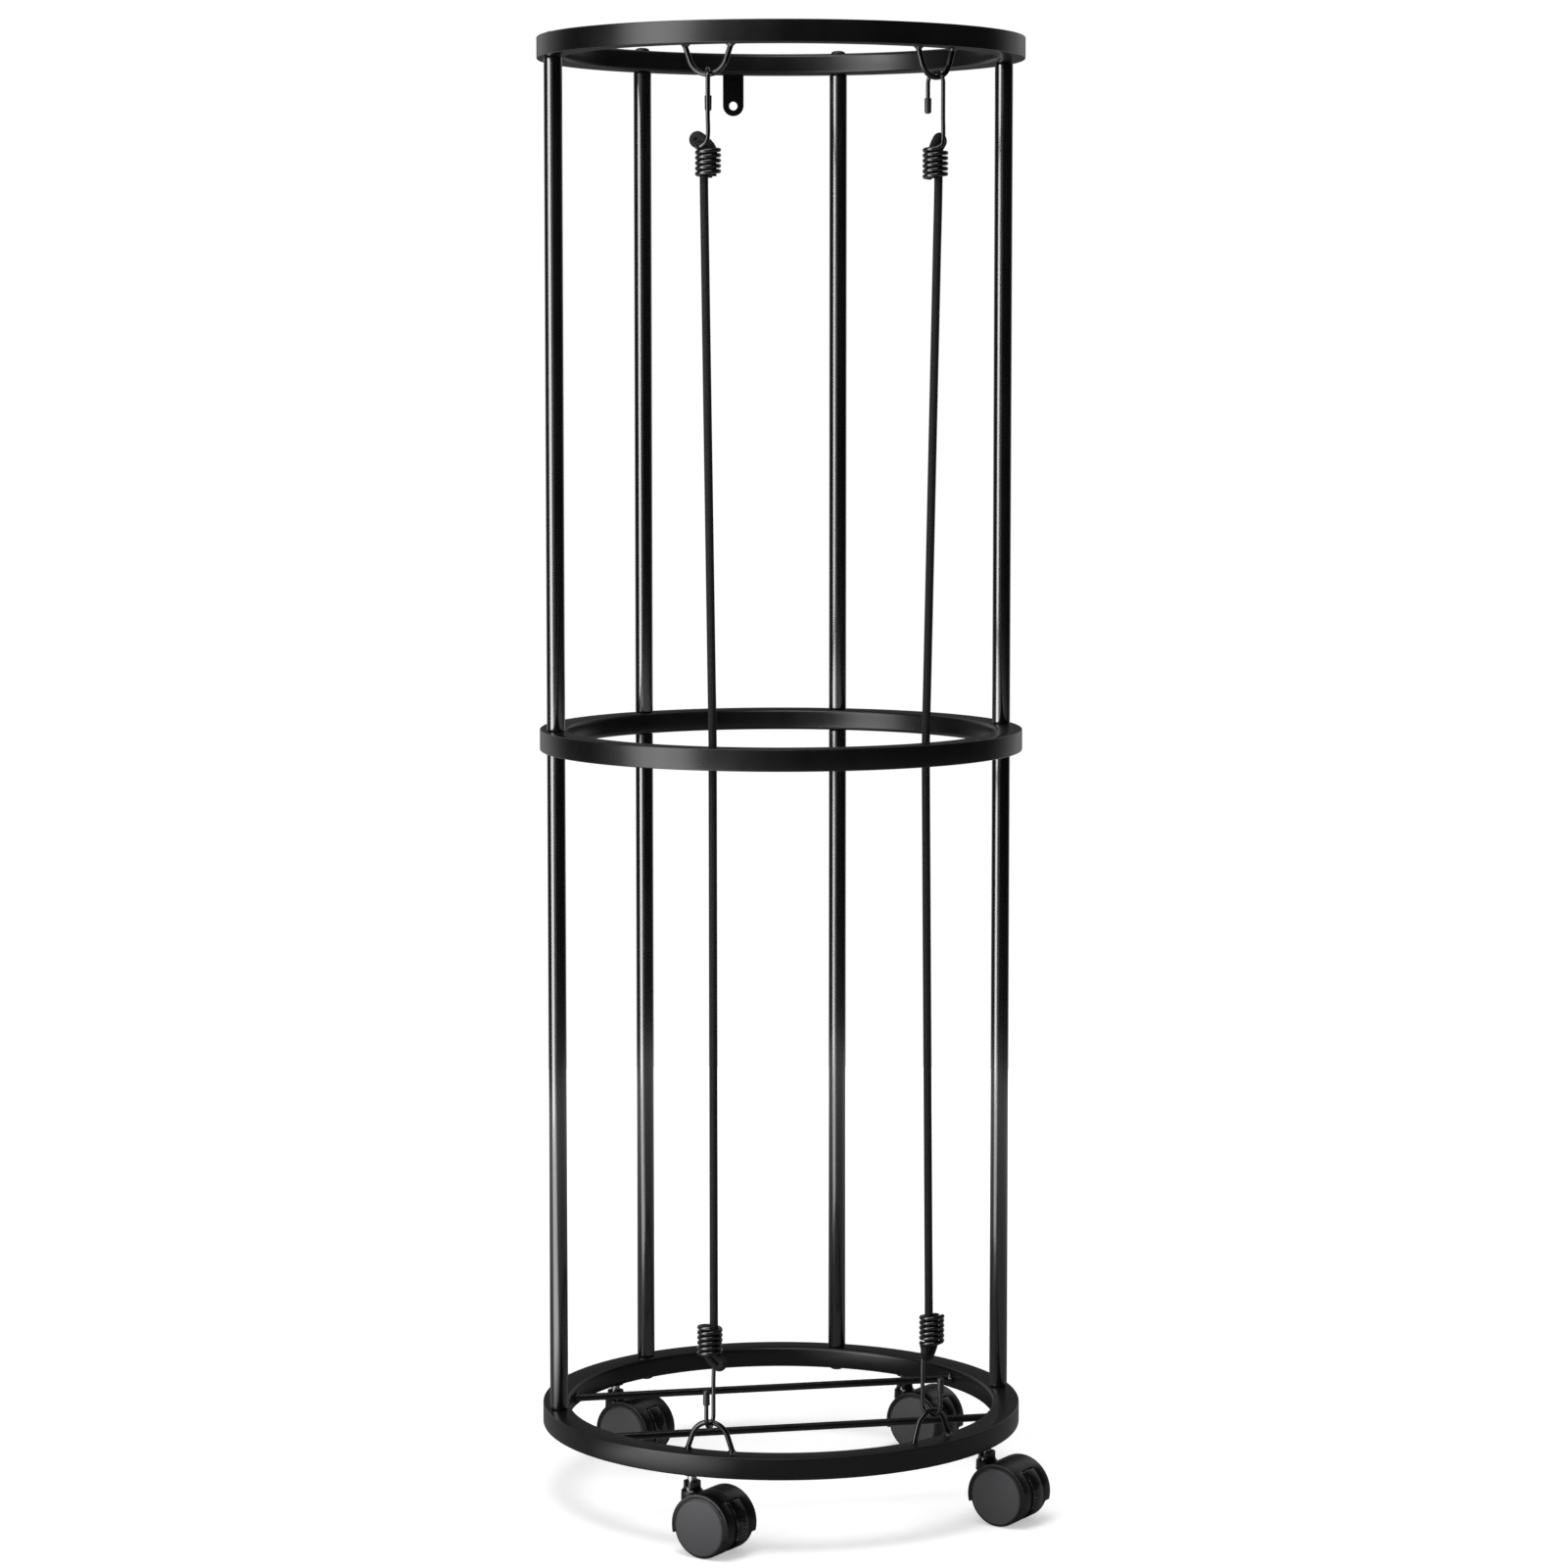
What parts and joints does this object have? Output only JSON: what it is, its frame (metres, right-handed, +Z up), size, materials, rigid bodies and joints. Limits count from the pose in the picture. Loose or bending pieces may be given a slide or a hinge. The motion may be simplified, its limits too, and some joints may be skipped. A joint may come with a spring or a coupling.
{
  "type": "ball cart",
  "caption": "Tall round open cage of black steel tube that stores a column of sports balls. It rolls on braked twin-wheel castors, and two elastic cords with wire hooks close its front.",
  "frame": {"origin": "on the cage's axis, at floor level under the castors", "axes": "+Z up, front of the cage (the side with the elastic cords) towards -Y, +X to the right as seen from the front"},
  "size_m": [0.3201, 0.3285, 0.9722],
  "materials": {
    "powder_coat_black": "satin powder coat",
    "wire_black": "gloss dip coat on wire",
    "bolt_black": "black oxide",
    "elastic_black": "woven sheath",
    "cap_black": "soft dipped vinyl",
    "plastic_black": "moulded nylon",
    "hub_grey": "fine moulded grain",
    "zinc_steel": "bright zinc plate"
  },
  "bodies": {
    "cage": {"base_ring": "powder_coat_black", "middle_ring": "powder_coat_black", "top_ring": "powder_coat_black", "lower_post_right": "powder_coat_black", "lower_post_back_right": "powder_coat_black", "lower_post_back_left": "powder_coat_black", "lower_post_left": "powder_coat_black", "upper_post_right": "powder_coat_black", "upper_post_back_right": "powder_coat_black", "upper_post_back_left": "powder_coat_black", "upper_post_left": "powder_coat_black", "top_bolt_right": "bolt_black", "top_bolt_back_right": "bolt_black", "top_bolt_back_left": "bolt_black", "top_bolt_left": "bolt_black", "base_bolt_right": "bolt_black", "base_bolt_back_right": "bolt_black", "base_bolt_back_left": "bolt_black", "base_bolt_left": "bolt_black", "wall_tab": "powder_coat_black", "floor_bar_front": "powder_coat_black", "floor_bar_back": "powder_coat_black", "cord_loop_top_left": "powder_coat_black", "cord_loop_top_right": "powder_coat_black", "cord_loop_lower_left": "powder_coat_black", "cord_loop_lower_right": "powder_coat_black", "cord_hook_top_left": "wire_black", "cord_hook_top_right": "wire_black", "hook_cap_top_left": "cap_black", "hook_cap_top_right": "cap_black", "elastic_cord_left": "elastic_black", "elastic_cord_right": "elastic_black", "castor_front_left_stem": "zinc_steel", "castor_front_right_stem": "zinc_steel", "castor_back_right_stem": "zinc_steel", "castor_back_left_stem": "zinc_steel"},
    "lower_hook_left": {"cord_hook_lower_left": "wire_black", "hook_cap_lower_left": "cap_black"},
    "lower_hook_right": {"cord_hook_lower_right": "wire_black", "hook_cap_lower_right": "cap_black"},
    "front_left_swivel": {"castor_front_left_hood": "plastic_black", "castor_front_left_axle": "zinc_steel"},
    "front_left_lever": {"castor_front_left_brake_lever": "plastic_black"},
    "front_left_wheel_a": {"castor_front_left_left_wheel": "hub_grey"},
    "front_left_wheel_b": {"castor_front_left_right_wheel": "hub_grey"},
    "front_right_swivel": {"castor_front_right_hood": "plastic_black", "castor_front_right_axle": "zinc_steel"},
    "front_right_lever": {"castor_front_right_brake_lever": "plastic_black"},
    "front_right_wheel_a": {"castor_front_right_left_wheel": "hub_grey"},
    "front_right_wheel_b": {"castor_front_right_right_wheel": "hub_grey"},
    "back_right_swivel": {"castor_back_right_hood": "plastic_black", "castor_back_right_axle": "zinc_steel"},
    "back_right_lever": {"castor_back_right_brake_lever": "plastic_black"},
    "back_right_wheel_a": {"castor_back_right_left_wheel": "hub_grey"},
    "back_right_wheel_b": {"castor_back_right_right_wheel": "hub_grey"},
    "back_left_swivel": {"castor_back_left_hood": "plastic_black", "castor_back_left_axle": "zinc_steel"},
    "back_left_lever": {"castor_back_left_brake_lever": "plastic_black"},
    "back_left_wheel_a": {"castor_back_left_left_wheel": "hub_grey"},
    "back_left_wheel_b": {"castor_back_left_right_wheel": "hub_grey"}
  },
  "joints": [
    {"name": "lower_hook_left_pull", "type": "slide", "parent": "cage", "child": "lower_hook_left", "axis": [0, 0, -1], "range_m": [0, 0.01], "stiffness_N_per_m": 150, "springref_m": -0.002, "deforming": ["elastic_cord_left"]},
    {"name": "lower_hook_right_pull", "type": "slide", "parent": "cage", "child": "lower_hook_right", "axis": [0, 0, -1], "range_m": [0, 0.01], "stiffness_N_per_m": 150, "springref_m": -0.002, "deforming": ["elastic_cord_right"]},
    {"name": "front_left_swivel", "type": "hinge", "parent": "cage", "child": "front_left_swivel", "pos_m": [-0.08444, -0.12518, 0.04], "axis": [0, 0, 1], "continuous": true},
    {"name": "front_left_roll_a", "type": "hinge", "parent": "front_left_swivel", "child": "front_left_wheel_a", "pos_m": [-0.07242, -0.13721, 0.01983], "axis": [0.7071, 0.7071, 0], "continuous": true},
    {"name": "front_left_roll_b", "type": "hinge", "parent": "front_left_swivel", "child": "front_left_wheel_b", "pos_m": [-0.07242, -0.13721, 0.01983], "axis": [0.7071, 0.7071, 0], "continuous": true},
    {"name": "front_left_brake", "type": "hinge", "parent": "front_left_swivel", "child": "front_left_lever", "pos_m": [-0.06182, -0.1478, 0.03648], "axis": [-0.7071, -0.7071, 0], "range_deg": [0, 18]},
    {"name": "front_right_swivel", "type": "hinge", "parent": "cage", "child": "front_right_swivel", "pos_m": [0.11899, -0.09297, 0.04], "axis": [0, 0, 1], "continuous": true},
    {"name": "front_right_roll_a", "type": "hinge", "parent": "front_right_swivel", "child": "front_right_wheel_a", "pos_m": [0.13101, -0.10499, 0.01983], "axis": [0.7071, 0.7071, 0], "continuous": true},
    {"name": "front_right_roll_b", "type": "hinge", "parent": "front_right_swivel", "child": "front_right_wheel_b", "pos_m": [0.13101, -0.10499, 0.01983], "axis": [0.7071, 0.7071, 0], "continuous": true},
    {"name": "front_right_brake", "type": "hinge", "parent": "front_right_swivel", "child": "front_right_lever", "pos_m": [0.14161, -0.11558, 0.03648], "axis": [-0.7071, -0.7071, 0], "range_deg": [0, 18]},
    {"name": "back_right_swivel", "type": "hinge", "parent": "cage", "child": "back_right_swivel", "pos_m": [0.11043, 0.10298, 0.04], "axis": [0, 0, 1], "continuous": true},
    {"name": "back_right_roll_a", "type": "hinge", "parent": "back_right_swivel", "child": "back_right_wheel_a", "pos_m": [0.12245, 0.09096, 0.01983], "axis": [0.7071, 0.7071, 0], "continuous": true},
    {"name": "back_right_roll_b", "type": "hinge", "parent": "back_right_swivel", "child": "back_right_wheel_b", "pos_m": [0.12245, 0.09096, 0.01983], "axis": [0.7071, 0.7071, 0], "continuous": true},
    {"name": "back_right_brake", "type": "hinge", "parent": "back_right_swivel", "child": "back_right_lever", "pos_m": [0.13305, 0.08036, 0.03648], "axis": [-0.7071, -0.7071, 0], "range_deg": [0, 18]},
    {"name": "back_left_swivel", "type": "hinge", "parent": "cage", "child": "back_left_swivel", "pos_m": [-0.09297, 0.11899, 0.04], "axis": [0, 0, 1], "continuous": true},
    {"name": "back_left_roll_a", "type": "hinge", "parent": "back_left_swivel", "child": "back_left_wheel_a", "pos_m": [-0.08094, 0.10697, 0.01983], "axis": [0.7071, 0.7071, 0], "continuous": true},
    {"name": "back_left_roll_b", "type": "hinge", "parent": "back_left_swivel", "child": "back_left_wheel_b", "pos_m": [-0.08094, 0.10697, 0.01983], "axis": [0.7071, 0.7071, 0], "continuous": true},
    {"name": "back_left_brake", "type": "hinge", "parent": "back_left_swivel", "child": "back_left_lever", "pos_m": [-0.07035, 0.09637, 0.03648], "axis": [-0.7071, -0.7071, 0], "range_deg": [0, 18]}
  ]
}
